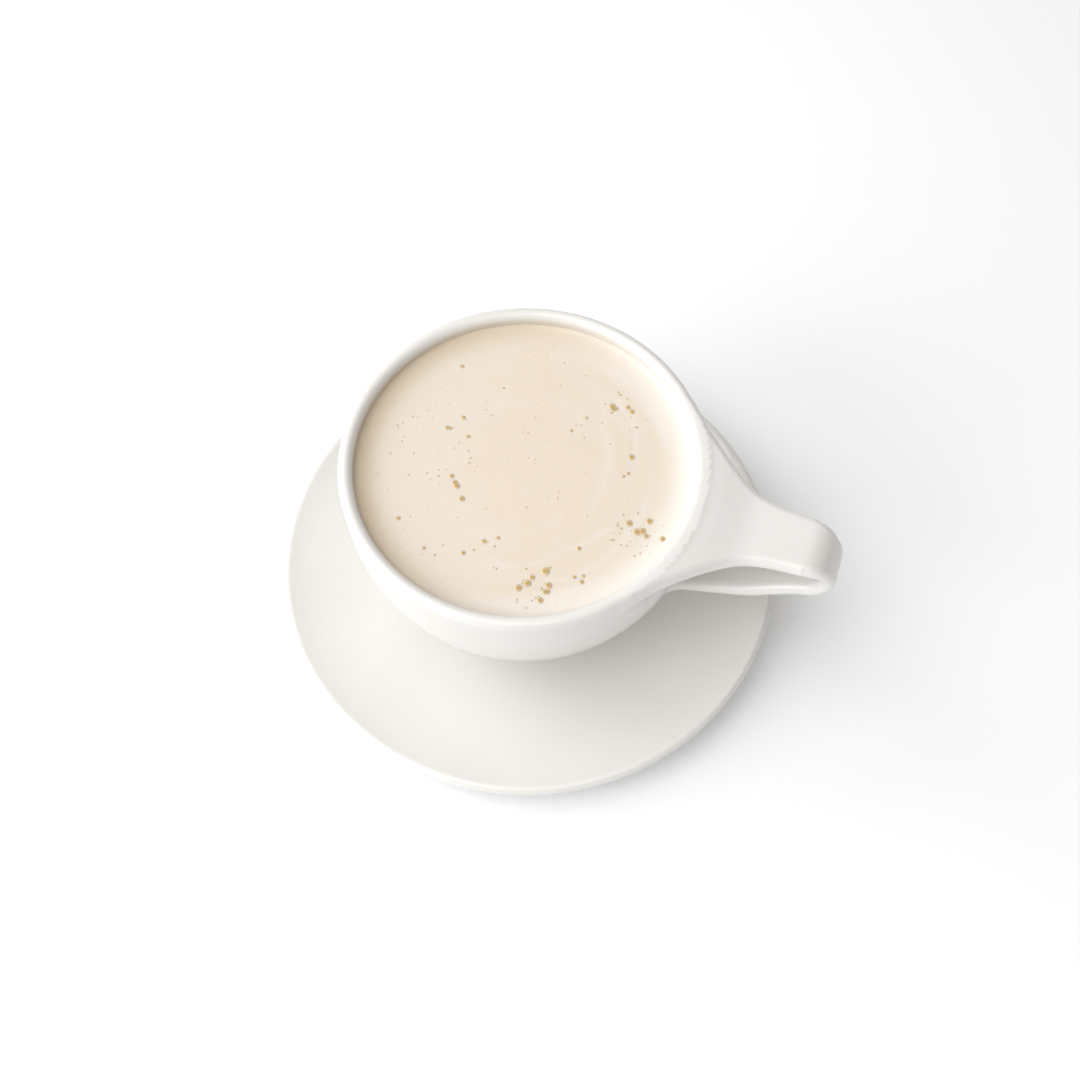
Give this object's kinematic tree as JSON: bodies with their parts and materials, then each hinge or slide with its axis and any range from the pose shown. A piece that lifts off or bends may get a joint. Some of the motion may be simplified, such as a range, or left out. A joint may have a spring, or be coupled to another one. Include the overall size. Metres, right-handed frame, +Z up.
{
  "type": "masala chai",
  "caption": "Milky spiced tea with a few froth bubbles, filling a round white china cup with a ribbon handle that stands on its matching saucer.",
  "frame": {"origin": "on the table, at the common upright axis of the cup and the saucer, level with the foot ring that the saucer stands on", "axes": "+Z up; +X from the axis of the cup along its handle; +Y completes the right-handed frame, so the handle's mirror plane is XZ"},
  "size_m": [0.164, 0.151, 0.072],
  "materials": {
    "saucer_glaze": "gloss white glaze",
    "cup_glaze": "gloss white glaze",
    "milky_tea": "smooth wet liquid surface, opaque milky beige"
  },
  "bodies": {
    "root": {"saucer": "saucer_glaze", "cup": "cup_glaze", "chai": "milky_tea"}
  },
  "joints": []
}
